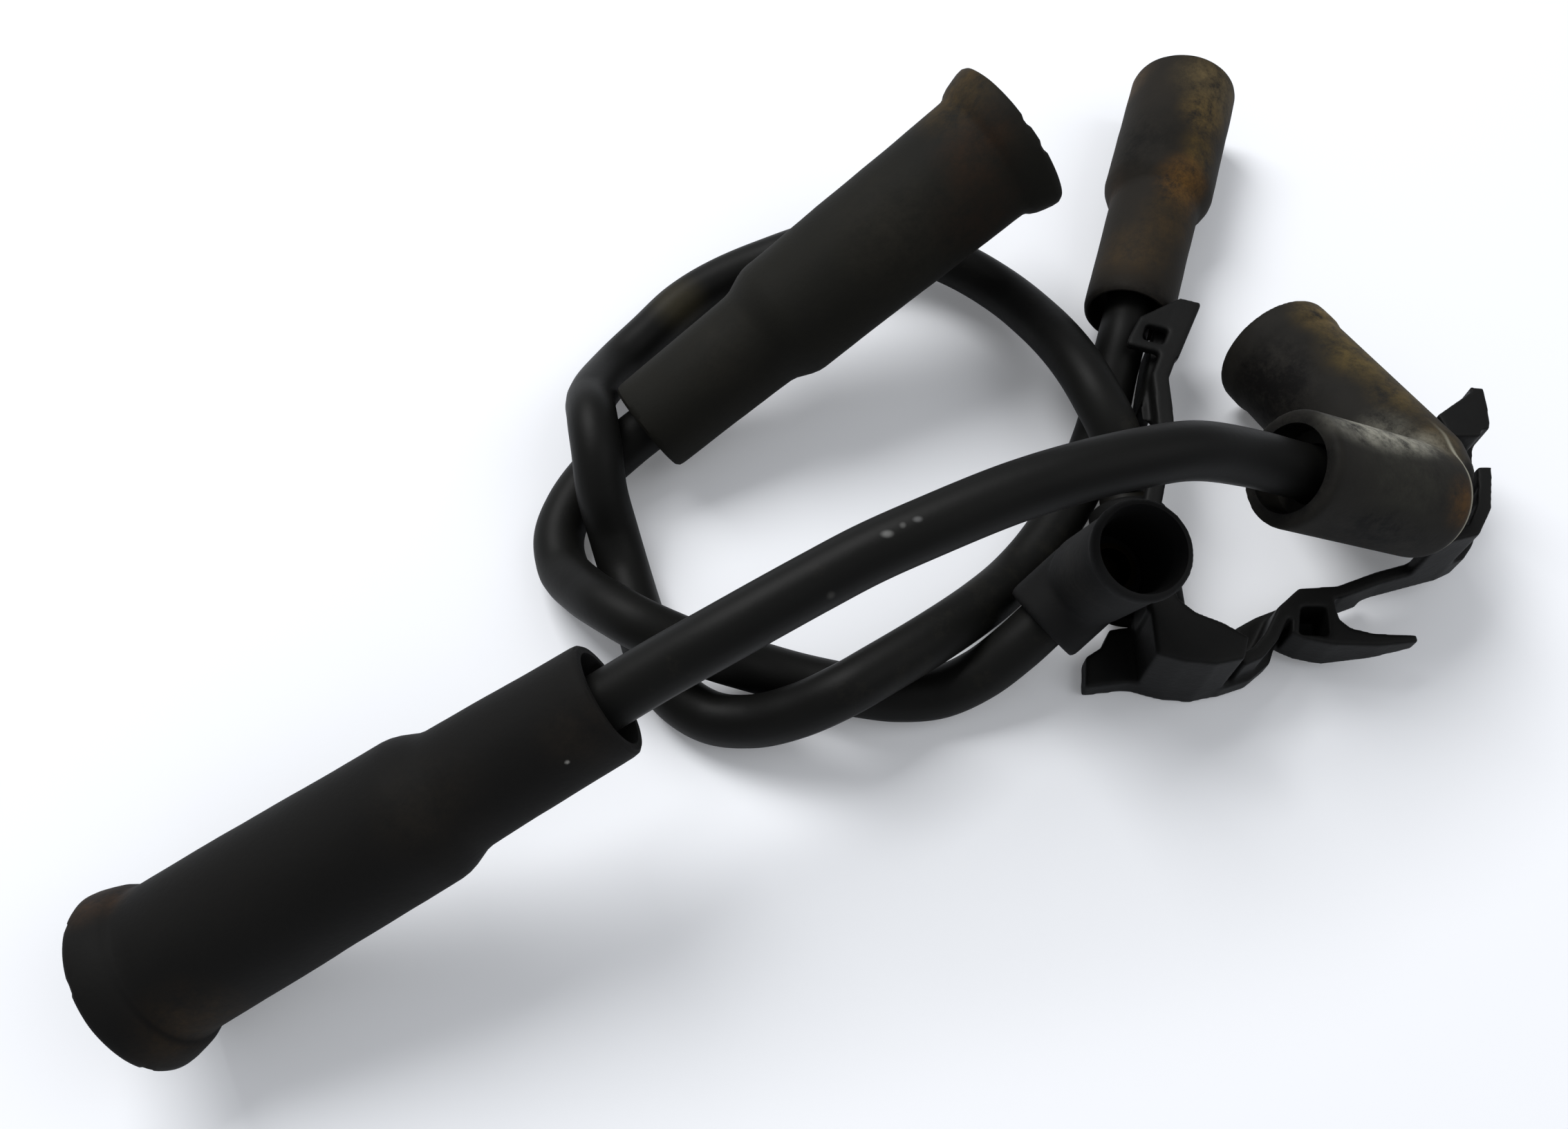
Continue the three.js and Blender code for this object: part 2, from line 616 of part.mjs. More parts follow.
const cutAway = 60;
const notch = new THREE.BoxGeometry(4 * holderWall, notchWidth, 2 * notchDepth)
  .translate(wallPath.at(-3)[0], 1.7, cradleTop);
const overStrip = new THREE.BoxGeometry(cutAway, cutAway, cutAway)
  .translate(cradleStart - cutAway / 2, 0, stripTop + cutAway / 2);
const underCradle = new THREE.BoxGeometry(cutAway, cutAway, cutAway)
  .translate(cradleBottomFrom + cutAway / 2, 0, cradleBottom - cutAway / 2);
const underFinger = new THREE.BoxGeometry(cutAway, cutAway, cutAway)
  .translate(cutAway / 2, 0, -cutAway / 2)
  .rotateY(-Math.atan2(stripTop - stripBottom - fingerTipHeight, fingerLength))
  .translate(fingerStart, wallPath[0][1], stripBottom);
const holder = strip(wallPath, holderWall, stripBottom, cradleTop)
  .subtract(solid(notch))
  .subtract(solid(overStrip))
  .subtract(solid(underCradle))
  .add(slab(footOutline, cradleBottom, stripTop))
  .add(slab(tipOutline, cradleTop - notchDepth, cradleTop))
  .add(slab(hookOutline, stripBottom, stripTop)
    .subtract(slab(pocketOutline, pocketFloor, stripTop + 1))
    .subtract(solid(underFinger)))
  .add(slab(floorOutline, 0, wingTop))
  .add(slab(blockOutline, 0, blockTop))
  .add(slab(wingOutline, 0, wingTop))
  .add(strip(strapPath, strapWall, strapBottom, strapTop))
  .add(slab(webOutline, gutterBottom, webTop))
  .add(slab(gutterOutline, gutterBottom, gutterTop))
  .add(straightClip())
  .subtract(inPlace(geometryOf(elbowOuter(largeElbow, gap)), elbowFrame))
  .subtract(inPlace(geometryOf(elbowOuter(smallElbow, gap)), smallElbowFrame))
  .subtract(inPlace(rod(straightNeckRadius + gap, 0, straightBootLength + gap, roundSides),
    upperFrame))
  .subtract(inPlace(rod(smallBootRadius + gap, -gap, 2 * smallBootLength, roundSides),
    lowerFrame));
add('wire_holder', geometryOf(holder.simplify(0.1)), plastic);

export default set;
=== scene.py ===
import math

import bpy
from mathutils import Matrix, Vector


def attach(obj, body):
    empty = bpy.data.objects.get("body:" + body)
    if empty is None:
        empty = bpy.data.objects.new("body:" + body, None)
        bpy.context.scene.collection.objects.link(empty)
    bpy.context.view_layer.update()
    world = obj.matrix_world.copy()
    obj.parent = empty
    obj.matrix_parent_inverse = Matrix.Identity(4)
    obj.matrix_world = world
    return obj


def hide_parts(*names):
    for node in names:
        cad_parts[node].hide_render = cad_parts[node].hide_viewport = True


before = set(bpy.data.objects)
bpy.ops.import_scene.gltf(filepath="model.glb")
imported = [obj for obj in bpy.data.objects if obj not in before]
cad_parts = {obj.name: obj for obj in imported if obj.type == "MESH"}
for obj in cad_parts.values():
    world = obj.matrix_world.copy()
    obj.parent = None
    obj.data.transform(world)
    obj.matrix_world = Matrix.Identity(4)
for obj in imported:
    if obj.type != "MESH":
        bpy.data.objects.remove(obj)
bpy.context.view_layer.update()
bpy.ops.object.select_all(action='DESELECT')


# The view: a camera held over the table's near edge, looking down at the set, and the plain
# white table top under it. A soft box above the far left edge gives the cables their long
# highlights, and the bright room does the rest.
MM = 0.001
EYE = Vector((-6.26, -92.06, 175.0)) * MM
LOOK = Vector((0.0, 0.4384, -0.8988))
LENS = 31.75
SENSOR_WIDTH = 36
NEAREST_SEEN = 5 * MM
TABLE_SIZE = 6
TABLE_GLOW = 0.1
ROOM_LIGHT = 0.4
# name, place in metres, width in metres, watts
LAMPS = (("soft_box", (-0.35, 0.45, 0.75), 0.5, 6.6),
         ("fill_panel", (0.55, -0.1, 0.7), 0.6, 1.2))

camera_data = bpy.data.cameras.new("camera")
camera_data.lens = LENS
camera_data.sensor_width = SENSOR_WIDTH
camera_data.clip_start = NEAREST_SEEN
camera = bpy.data.objects.new("camera", camera_data)
camera.location = EYE
camera.rotation_euler = LOOK.to_track_quat('-Z', 'Y').to_euler()
bpy.context.collection.objects.link(camera)
bpy.context.scene.camera = camera
bpy.context.scene.view_settings.view_transform = 'Standard'


def linear(hex_colour):
    """An sRGB hex colour as the linear colour that a shader wants."""
    parts = [int(hex_colour[i:i + 2], 16) / 255 for i in (1, 3, 5)]
    return [*(p / 12.92 if p <= 0.04045 else ((p + 0.055) / 1.055) ** 2.4 for p in parts), 1]


def add_node(tree, kind, settings=None, links=None):
    """One node, with values for its own settings or its sockets, and what feeds each socket."""
    made = tree.nodes.new(kind)
    for key, value in (settings or {}).items():
        if isinstance(key, int) or key in made.inputs:
            made.inputs[key].default_value = value
        else:
            setattr(made, key, value)
    for key, source in (links or {}).items():
        tree.links.new(source, made.inputs[key])
    return made


bpy.ops.mesh.primitive_plane_add(size=TABLE_SIZE, location=(0, 0, 0))
floor = bpy.context.object
floor.name = "table_top"

# White laminate, pressed smooth and matt: it scatters the light evenly and takes soft shadows.
# Its faint glow is for the camera alone and brings the lit table up to white.
laminate = bpy.data.materials.new("white_laminate")
laminate.use_nodes = True
tree = laminate.node_tree
tree.nodes.clear()
seen = add_node(tree, 'ShaderNodeLightPath')
faint = add_node(tree, 'ShaderNodeMath', {'operation': 'MULTIPLY', 1: TABLE_GLOW},
                 {0: seen.outputs['Is Camera Ray']})
glow = add_node(tree, 'ShaderNodeEmission', {'Color': linear("#FFFFFF")},
                {'Strength': faint.outputs[0]})
white = add_node(tree, 'ShaderNodeBsdfDiffuse', {'Color': linear("#F4F6FA")})
both = add_node(tree, 'ShaderNodeAddShader', None, {0: white.outputs[0], 1: glow.outputs[0]})
add_node(tree, 'ShaderNodeOutputMaterial', None, {'Surface': both.outputs[0]})
floor.data.materials.append(laminate)

# The bright room: an even, gentle light on the set, and plain white behind it.
world = bpy.data.worlds.new("bright_room")
bpy.context.scene.world = world
world.use_nodes = True
tree = world.node_tree
tree.nodes.clear()
seen = add_node(tree, 'ShaderNodeLightPath')
room = add_node(tree, 'ShaderNodeBackground', {'Color': linear("#F2F5FA"),
                                                'Strength': ROOM_LIGHT})
sky = add_node(tree, 'ShaderNodeBackground', {'Color': linear("#FFFFFF"), 'Strength': 1.0})
shown = add_node(tree, 'ShaderNodeMixShader', None,
                 {0: seen.outputs['Is Camera Ray'], 1: room.outputs[0], 2: sky.outputs[0]})
add_node(tree, 'ShaderNodeOutputWorld', None, {'Surface': shown.outputs[0]})

for name, place, size, power in LAMPS:
    lamp_data = bpy.data.lights.new(name, 'AREA')
    lamp_data.shape = 'SQUARE'
    lamp_data.size = size
    lamp_data.energy = power
    lamp = bpy.data.objects.new(name, lamp_data)
    lamp.location = place
    lamp.rotation_euler = (-Vector(place)).to_track_quat('-Z', 'Y').to_euler()
    bpy.context.collection.objects.link(lamp)


# Where the boots lie. Each straight boot has its mouth at a point, with its axis running in
# from there; each elbow has a corner, a coil leg and a wire leg. These are the same places as
# in the solid model, in millimetres.
def axis_frame(mouth, inward):
    """A straight boot's frame: its mouth at the origin, its axis along Z."""
    turn = Vector((0, 0, 1)).rotation_difference(inward)
    return Matrix.Translation(mouth) @ turn.to_matrix().to_4x4()


def corner_frame(corner, coil_way, wire_hint):
    """An elbow's frame: its corner at the origin, the coil leg along Z, the wire leg near X."""
    z = coil_way.normalized()
    x = (wire_hint - z * wire_hint.dot(z)).normalized()
    y = z.cross(x)
    basis = Matrix((x, y, z)).transposed().to_4x4()
    return Matrix.Translation(corner) @ basis


TABLE_GAP = 0.02


def lying_height(radius, rise):
    """How high the middle of a round rim is when its lowest point lies on the table."""
    return radius * math.sqrt(1 - rise * rise) + TABLE_GAP


PLUG_BOOT_LENGTH = 65.0
PLUG_LIP_RADIUS = 11.3
STRAIGHT_BOOT_LENGTH = 46
SMALL_BOOT_LENGTH = 15
ELBOW_COIL_LENGTH = 34.4
ELBOW_WIRE_LENGTH = 25
ELBOW_LIP_RADIUS = 8.7
SMALL_ELBOW_WIRE_LENGTH = 8
FRONT_WAY = Vector((0.856, 0.421, 0.31)).normalized()
FRONT_MOUTH = Vector((-81.26, -65.71, lying_height(PLUG_LIP_RADIUS, FRONT_WAY.z)))
FRONT_FRAME = axis_frame(FRONT_MOUTH, FRONT_WAY)
REAR_WAY = Vector((-0.787, -0.522, -0.34)).normalized()
REAR_END = Vector((-25.46, 11.09, 7.8))
REAR_FRAME = axis_frame(REAR_END - REAR_WAY * PLUG_BOOT_LENGTH, REAR_WAY)
UPPER_WAY = Vector((-0.3, -0.954, 0)).normalized()
UPPER_FRAME = axis_frame(Vector((57.94, 73.59, 8.27)), UPPER_WAY)
LOWER_WAY = Vector((-0.03, 1, 0)).normalized()
LOWER_FRAME = axis_frame(Vector((41.8, -16.5, 5.62)), LOWER_WAY)
ELBOW_WAY = Vector((-0.345, 0.893, -0.288)).normalized()
ELBOW_LEAN = math.radians(5.7)
ELBOW_HEIGHT = lying_height(ELBOW_LIP_RADIUS, ELBOW_WAY.z) - ELBOW_COIL_LENGTH * ELBOW_WAY.z
ELBOW_FRAME = corner_frame(Vector((76.44, -6.81, ELBOW_HEIGHT)), ELBOW_WAY,
                           Vector((-0.87, -0.07, 0.48)))
SMALL_ELBOW_LEAN = math.radians(-22)
SMALL_ELBOW_FRAME = corner_frame(Vector((32.84, -15.81, 13.2)), Vector((0.146, -0.223, 0.964)),
                                 Vector((-0.72, -0.6, -0.3)))


# Ignition cables, 7 mm over a silicone jacket, extruded in one pass and satin black. Each runs
# from a crimp in one boot to a crimp in another, which hold it straight, and the points in
# between are those of the solid model, in millimetres.
CABLE_DIAMETER = 7.0


def held(crimp, end, lead_out):
    """How far in a boot holds its cable: at the crimp, half-way, at its end, and just past it."""
    return crimp, (crimp + end) / 2, end, end + lead_out


def along(place, distances):
    """Points on a straight boot's axis."""
    return [place @ Vector((0, 0, d)) for d in distances]


def along_wire_leg(place, lean, distances):
    """Points on the axis of an elbow's wire leg, which leans off X by so much."""
    return [place @ Vector((d * math.cos(lean), 0, d * math.sin(lean))) for d in distances]


def centripetal(points, per_span=10):
    """A smooth line through the points that never overshoots, sampled evenly in each span."""
    knots = [points[0] * 2 - points[1], *points, points[-1] * 2 - points[-2]]
    line = []
    for p0, p1, p2, p3 in zip(knots, knots[1:], knots[2:], knots[3:]):
        t1, t2, t3 = ((b - a).length ** 0.5 for a, b in ((p0, p1), (p1, p2), (p2, p3)))
        leave = ((p1 - p0) / t1 - (p2 - p0) / (t1 + t2) + (p2 - p1) / t2) * t2
        reach = ((p2 - p1) / t2 - (p3 - p1) / (t2 + t3) + (p3 - p2) / t3) * t2
        for step in range(per_span):
            u = step / per_span
            line.append(p1 * (2 * u ** 3 - 3 * u ** 2 + 1) + leave * (u ** 3 - 2 * u ** 2 + u)
                        + p2 * (3 * u ** 2 - 2 * u ** 3) + reach * (u ** 3 - u ** 2))
    return [*line, points[-1]]


ARCH_ROUTE = [
    (-13.66, -32.71, 35.2), (-8.06, -29.81, 36.4), (-2.66, -26.91, 37.2), (2.94, -24.11, 38.2),
    (9.14, -21.51, 39.2), (19.04, -17.51, 40.2), (26.84, -14.91, 40.4), (34.14, -12.71, 39.8),
    (40.74, -10.71, 38),
]
INNER_ROUTE = [
    (-33.56, 5.29, 3.9), (-36.46, 0.29, 3.6), (-37.56, -4.31, 3.6), (-36.46, -9.51, 4.4),
    (-32.86, -14.41, 7.8), (-28.86, -18.31, 11), (-24.46, -21.31, 12.1),
    (-19.26, -23.01, 10.3), (-14.76, -23.61, 7.4), (-9.66, -24.21, 4.8), (-3.66, -25.51, 3.6),
    (4.34, -27.21, 3.6), (8.84, -27.71, 3.6), (14.24, -27.31, 3.9), (19.54, -25.31, 5.4),
]
OUTER_ROUTE = [
    (41.54, 21.09, 6.8), (39.94, 14.79, 4.8), (37.94, 9.49, 3.9), (34.94, 2.99, 3.6),
    (29.74, -5.01, 3.6), (25.14, -10.61, 4.2), (19.84, -16.41, 7.6), (13.14, -22.31, 10.8),
    (5.64, -27.41, 11.8), (0.94, -30.11, 11.5), (-4.76, -31.71, 8.6), (-10.56, -31.91, 5.4),
    (-16.06, -30.61, 3.6), (-20.66, -27.51, 3.6), (-23.56, -23.01, 3.6),
    (-25.26, -18.31, 3.6), (-26.76, -13.91, 3.6), (-28.36, -8.91, 3.9), (-29.66, -4.91, 5.8),
    (-31.06, -0.51, 10.2), (-31.66, 4.09, 12.8), (-32.56, 9.09, 12.9), (-33.46, 15.09, 9.2),
    (-30.96, 23.59, 4.4), (-26.36, 29.89, 3.6), (-21.86, 35.29, 3.6), (-16.86, 39.09, 3.8),
    (-9.66, 42.39, 4.6), (0.74, 44.99, 6.4), (11.34, 44.59, 6.6), (19.74, 41.59, 5.6),
    (26.64, 36.19, 5.8), (30.84, 29.99, 7.6), (33.54, 23.89, 10), (35.54, 18.19, 11.8),
    (37.34, 12.79, 12.5), (39.34, 8.09, 11.4), (40.64, 3.89, 8.6),
]

cable_runs = {
    "lead_cable_arch": (
        along(FRONT_FRAME, held(crimp=39.3, end=PLUG_BOOT_LENGTH, lead_out=7)), ARCH_ROUTE,
        along_wire_leg(ELBOW_FRAME, ELBOW_LEAN,
                       held(crimp=5.3, end=ELBOW_WIRE_LENGTH, lead_out=7))),
    "lead_cable_inner": (
        along(REAR_FRAME, held(crimp=39.3, end=PLUG_BOOT_LENGTH, lead_out=4)), INNER_ROUTE,
        along_wire_leg(SMALL_ELBOW_FRAME, SMALL_ELBOW_LEAN,
                       held(crimp=1.3, end=SMALL_ELBOW_WIRE_LENGTH, lead_out=4))),
    "lead_cable_outer": (
        along(UPPER_FRAME, held(crimp=28.3, end=STRAIGHT_BOOT_LENGTH, lead_out=4)), OUTER_ROUTE,
        along(LOWER_FRAME, held(crimp=5.3, end=SMALL_BOOT_LENGTH, lead_out=3))),
}

# Four small pale marks on the upper side of the arch, and a dusty patch on the outer cable.
CABLE_MARKS = [
    ((4.9, -23.5, 42), 0.6, 1.3, "#7C7C7A", (1.6, 1, 1)),
    ((6.6, -22.6, 42.3), 0.5, 1.1, "#6A6A68"),
    ((8.2, -22, 42.6), 0.5, 1.3, "#707070", (1.5, 1, 1)),
    ((-1.2, -29.4, 39), 0.7, 0.9, "#504F4C"),
    ((-22, 33.6, 6.8), 6, 1.2, "#3B3626"),
]


def lay_dirt_and_painted_light(tree, place, skin, grains, puffs):
    """Lays puffs of colour over a skin colour: dirt, and on some boots painted shade and painted
    highlights. Each has a centre and a reach in mm, a strength and a colour, and may be drawn out
    along the axes by three factors."""
    for centre, reach, strength, colour, *drawn_out in puffs:
        stretch = Vector(drawn_out[0]) if drawn_out else Vector((1, 1, 1))
        apart = add_node(tree, 'ShaderNodeVectorMath',
                         {'operation': 'SUBTRACT', 1: Vector(centre) * MM}, {0: place})
        eased = add_node(tree, 'ShaderNodeVectorMath', {'operation': 'DIVIDE', 1: stretch},
                         {0: apart.outputs[0]})
        far = add_node(tree, 'ShaderNodeVectorMath', {'operation': 'LENGTH'},
                       {0: eased.outputs[0]})
        near = add_node(tree, 'ShaderNodeMapRange',
                        {'interpolation_type': 'SMOOTHSTEP', 'From Min': reach * MM,
                         'From Max': reach * MM * 0.15, 'To Min': 0.0, 'To Max': strength},
                        {'Value': far.outputs['Value']})
        cover = add_node(tree, 'ShaderNodeMath', {'operation': 'MULTIPLY', 'use_clamp': True},
                         {0: near.outputs[0], 1: grains})
        skin = add_node(tree, 'ShaderNodeMix', {'data_type': 'RGBA', 7: linear(colour)},
                        {0: cover.outputs[0], 6: skin}).outputs[2]
    return skin


def new_material(name):
    """A material with the plain shader, and the place on the object that its patterns read."""
    made = bpy.data.materials.new(name)
    made.use_nodes = True
    tree = made.node_tree
    return made, tree, tree.nodes['Principled BSDF'], add_node(
        tree, 'ShaderNodeTexCoord').outputs['Object']


def per_metre(size):
    """The scale of a noise whose patches are so many mm wide."""
    return float(round(1 / (size * MM)))


# Silicone jacket, extruded smooth: near black and dull satin, which gives each cable one soft
# highlight along its back. Silicone's IOR is close to the shader's own 1.5, and a film of
# engine dirt dulls it, so its specular level is low. Its skin clouds over in patches of
# 17 mm, and dust gathers in patches of 26 mm. The real grain is far too fine to show, and is
# drawn 0.9 mm wide.
JACKET_CLOUD, JACKET_DUST, JACKET_GRAIN = 16.7, 26.3, 0.909
JACKET_SPECULAR = 0.12
JACKET_ROUGHNESS = (0.4, 0.6)


def cable_jacket():
    made, tree, shader, place = new_material("silicone_jacket")
    shader.inputs['Specular IOR Level'].default_value = JACKET_SPECULAR
    cloud = add_node(tree, 'ShaderNodeTexNoise', {'Scale': per_metre(JACKET_CLOUD),
                                                  'Detail': 5.0}, {'Vector': place})
    tone = add_node(tree, 'ShaderNodeMix', {'data_type': 'RGBA', 6: linear("#090909"),
                                            7: linear("#161614")},
                    {0: cloud.outputs['Fac']})
    dust = add_node(tree, 'ShaderNodeTexNoise', {'Scale': per_metre(JACKET_DUST), 'Detail': 9.0,
                                                 'Roughness': 0.78}, {'Vector': place})
    spots = add_node(tree, 'ShaderNodeMapRange', {'From Min': 0.56, 'From Max': 0.74,
                                                  'To Max': 0.5},
                     {'Value': dust.outputs['Fac']})
    worn = add_node(tree, 'ShaderNodeMix', {'data_type': 'RGBA', 7: linear("#302D25")},
                    {0: spots.outputs[0], 6: tone.outputs[2]})
    marked = lay_dirt_and_painted_light(tree, place, worn.outputs[2], dust.outputs['Fac'], CABLE_MARKS)
    gloss = add_node(tree, 'ShaderNodeMapRange', {'To Min': JACKET_ROUGHNESS[0],
                                                  'To Max': JACKET_ROUGHNESS[1]},
                     {'Value': cloud.outputs['Fac']})
    grain = add_node(tree, 'ShaderNodeTexNoise', {'Scale': per_metre(JACKET_GRAIN),
                                                  'Detail': 4.0}, {'Vector': place})
    bump = add_node(tree, 'ShaderNodeBump', {'Strength': 0.2, 'Distance': 0.1 * MM},
                    {'Height': grain.outputs['Fac']})
    tree.links.new(marked, shader.inputs['Base Color'])
    tree.links.new(gloss.outputs[0], shader.inputs['Roughness'])
    tree.links.new(bump.outputs[0], shader.inputs['Normal'])
    return made


jacket = cable_jacket()
for name, (start, route, end) in cable_runs.items():
    points = [*start, *(Vector(p) for p in route), *reversed(end)]
    line = centripetal(points)
    curve = bpy.data.curves.new(name, 'CURVE')
    curve.dimensions = '3D'
    curve.bevel_depth = CABLE_DIAMETER / 2 * MM
    curve.bevel_resolution = 8
    curve.use_fill_caps = True
    spline = curve.splines.new('POLY')
    spline.points.add(len(line) - 1)
    for point, place in zip(spline.points, line):
        point.co = (*(place * MM), 1)
    piece = bpy.data.objects.new("jacket_" + name.rsplit("_", 1)[1], curve)
    bpy.context.collection.objects.link(piece)
    curve.materials.append(jacket)
    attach(piece, "root")
    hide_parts(name)


# Plug boots: long moulded sleeves of black rubber, pushed over the spark plugs. A flared rim,
# a slow taper, a shoulder and a slim neck where the cable comes out. Two of the same, with
# dust from the engine bay worked into the skin.
def turned(name, profile, sides=96, solid=False):
    """One ring is drawn out and scaled from point to point of a profile, in mm. It makes a
    shell whose profile closes on itself, or a solid body with both ends filled."""
    radius, height = profile[0]
    bpy.ops.mesh.primitive_circle_add(vertices=sides, radius=radius * MM,
                                      fill_type='NGON' if solid else 'NOTHING',
                                      location=(0, 0, height * MM))
    piece = bpy.context.object
    piece.name = name
    piece.data.name = name
    bpy.ops.object.transform_apply(location=True)
    bpy.ops.object.mode_set(mode='EDIT')
    bpy.ops.mesh.select_all(action='SELECT')
    for next_radius, next_height in profile[1:] + ([] if solid else profile[:1]):
        bpy.ops.mesh.extrude_region_move(
            TRANSFORM_OT_translate={"value": (0, 0, (next_height - height) * MM)})
        scale = next_radius / radius
        bpy.ops.transform.resize(value=(scale, scale, 1), center_override=(0, 0, 0))
        radius, height = next_radius, next_height
    bpy.ops.mesh.select_all(action='SELECT')
    if not solid:
        bpy.ops.mesh.remove_doubles(threshold=0.002 * MM)
    bpy.ops.mesh.normals_make_consistent(inside=False)
    bpy.ops.object.mode_set(mode='OBJECT')
    return piece


def fine(profile, step=1.6):
    """The same profile with more points along its long stretches."""
    dense = []
    for (r0, z0), (r1, z1) in zip(profile, profile[1:]):
        parts = max(1, round(math.hypot(r1 - r0, z1 - z0) / step))
        dense += [(r0 + (r1 - r0) * k / parts, z0 + (z1 - z0) * k / parts) for k in range(parts)]
    return [*dense, profile[-1]]


def pick(piece):
    bpy.ops.object.select_all(action='DESELECT')
    piece.select_set(True)
    bpy.context.view_layer.objects.active = piece


def place_piece(piece, matrix):
    """Moves the mesh itself, in mm, so that the object stays at the origin."""
    pick(piece)
    shift = matrix.copy()
    shift.translation = matrix.translation * MM
    piece.matrix_world = shift
    bpy.ops.object.transform_apply(location=True, rotation=True, scale=True)


def moulded_skin(piece, depth, size, seed):
    """Pulls the skin in by up to a depth in waves of a size, both in mm, as on soft rubber that
    has been handled. The seed moves the waves."""
    waves = bpy.data.textures.new(piece.name + "_waves", 'CLOUDS')
    waves.noise_scale = size * MM
    shift = piece.modifiers.new("waves", 'DISPLACE')
    shift.texture = waves
    shift.texture_coords = 'LOCAL'
    shift.strength = depth * MM
    shift.mid_level = 1.0
    place_piece(piece, Matrix.Translation((seed, seed / 2, 0)))
    bpy.ops.object.modifier_apply(modifier=shift.name)
    place_piece(piece, Matrix.Translation((-seed, -seed / 2, 0)))


def smooth(piece, angle=35):
    """Shades the piece smooth across every edge that turns less than an angle in degrees."""
    pick(piece)
    bpy.ops.object.shade_smooth_by_angle(angle=math.radians(angle))


# Boot rubber, moulded in a fine-blasted tool and then aged by heat and oil: dull and near
# black, so that the light falls off it softly. Rubber's IOR is close to the shader's own 1.5,
# and its chalky skin keeps the specular level low. Its tone clouds over in patches of 10 mm,
# and dirt sits in it in specks of 4 mm and finer. The mould's grain is too fine to show, and
# is drawn 0.7 mm wide.
RUBBER_CLOUD, RUBBER_SPECK, RUBBER_GRAIN = 10.5, 4.35, 0.6667
RUBBER_SPECULAR = 0.12
RUBBER_ROUGHNESS = (0.6, 0.82)


def aged_rubber(name, place, tones, puffs, lines=()):
    """The puffs of dirt, and on some boots of painted shade and painted highlight, lie in the
    boot's own frame. A line is drawn across one of its axes, at a place and with half a width in
    mm, and is cut off by a puff."""
    made, tree, shader, spot = new_material(name)
    shader.inputs['Specular IOR Level'].default_value = RUBBER_SPECULAR
    own = add_node(tree, 'ShaderNodeMapping',
                   {'vector_type': 'TEXTURE', 'Location': place.translation * MM,
                    'Rotation': place.to_euler()}, {'Vector': spot}).outputs[0]
    cloud = add_node(tree, 'ShaderNodeTexNoise', {'Scale': per_metre(RUBBER_CLOUD),
                                                  'Detail': 6.0, 'Roughness': 0.66},
                     {'Vector': own})
    skin = add_node(tree, 'ShaderNodeMix', {'data_type': 'RGBA', 6: linear(tones[0]),
                                            7: linear(tones[1])}, {0: cloud.outputs['Fac']})
    speck = add_node(tree, 'ShaderNodeTexNoise', {'Scale': per_metre(RUBBER_SPECK),
                                                  'Detail': 10.0, 'Roughness': 0.82},
                     {'Vector': own})
    grains = add_node(tree, 'ShaderNodeMapRange', {'From Min': 0.36, 'From Max': 0.64},
                      {'Value': speck.outputs['Fac']})
    skin = lay_dirt_and_painted_light(tree, own, skin.outputs[2], grains.outputs[0], puffs)
    for along_axis, at, half_width, centre, reach, strength, colour in lines:
        split = add_node(tree, 'ShaderNodeSeparateXYZ', None, {0: own})
        off = add_node(tree, 'ShaderNodeMath', {'operation': 'SUBTRACT', 1: at * MM},
                       {0: split.outputs[along_axis]})
        away = add_node(tree, 'ShaderNodeMath', {'operation': 'ABSOLUTE'}, {0: off.outputs[0]})
        band = add_node(tree, 'ShaderNodeMapRange',
                        {'interpolation_type': 'SMOOTHSTEP', 'From Min': half_width * MM,
                         'From Max': 0.0, 'To Min': 0.0, 'To Max': 1.0},
                        {'Value': away.outputs[0]})
        skin = lay_dirt_and_painted_light(tree, own, skin, band.outputs[0], [(centre, reach, strength, colour)])
    gloss = add_node(tree, 'ShaderNodeMapRange', {'To Min': RUBBER_ROUGHNESS[0],
                                                  'To Max': RUBBER_ROUGHNESS[1]},
                     {'Value': cloud.outputs['Fac']})
    grain = add_node(tree, 'ShaderNodeTexNoise', {'Scale': per_metre(RUBBER_GRAIN),
                                                  'Detail': 4.0}, {'Vector': own})
    bump = add_node(tree, 'ShaderNodeBump', {'Strength': 0.35, 'Distance': 0.1 * MM},
                    {'Height': grain.outputs['Fac']})
    tree.links.new(skin, shader.inputs['Base Color'])
    tree.links.new(gloss.outputs[0], shader.inputs['Roughness'])
    tree.links.new(bump.outputs[0], shader.inputs['Normal'])
    return made


TEAR_RADIUS = 0.7


def nicked(piece, spots, push):
    """Small tears in the rim: the skin round each spot is pushed by so much, in mm."""
    for spot in spots:
        for point in piece.data.vertices:
            point.select = (point.co - Vector(spot) * MM).length < TEAR_RADIUS * MM
        bpy.ops.object.mode_set(mode='EDIT')
        bpy.ops.transform.translate(value=Vector(push) * MM)
        bpy.ops.mesh.select_all(action='DESELECT')
        bpy.ops.object.mode_set(mode='OBJECT')


# Radius and distance from the mouth: outside from the rim to the neck, then back through the
# wire's mouth, its bore, the terminal's room and the socket.
PLUG_BOOT = [
    (7.7, 0.0), (10.6, 0.0), (11.05, 0.2), (11.28, 0.7), (11.2, 1.5), (10.9, 2.7), (10.6, 3.7),
    (10.2, 4.5), (9.8, 4.95), (9.6, 5.5), (9.55, 7.0), (9.3, 22.6), (9.0, 40.0),
    (8.88, 40.9), (8.55, 42.0), (8.05, 43.2), (7.7, 44.0), (7.52, 44.9), (7.48, 46.5),
    (7.12, 63.9), (7.0, 64.6), (6.6, 65.0), (5.75, 65.0), (5.6, 64.8), (5.6, 61.0),
    (3.82, 61.0), (3.82, 48.3), (4.6, 48.3), (4.6, 36.0), (6.9, 36.0), (6.9, 2.0), (7.4, 0.3),
]
FRONT_TEARS = [(-4.2, -10.4, 0.3), (2.7, -10.9, 0.3), (-9.6, -5.7, 0.3), (-11, 1.5, 0.3)]
REAR_TEARS = [(10.4, 4, 0.3), (10.9, 1.2, 0.3), (10.5, -3.2, 0.3)]
plug_boots = {}
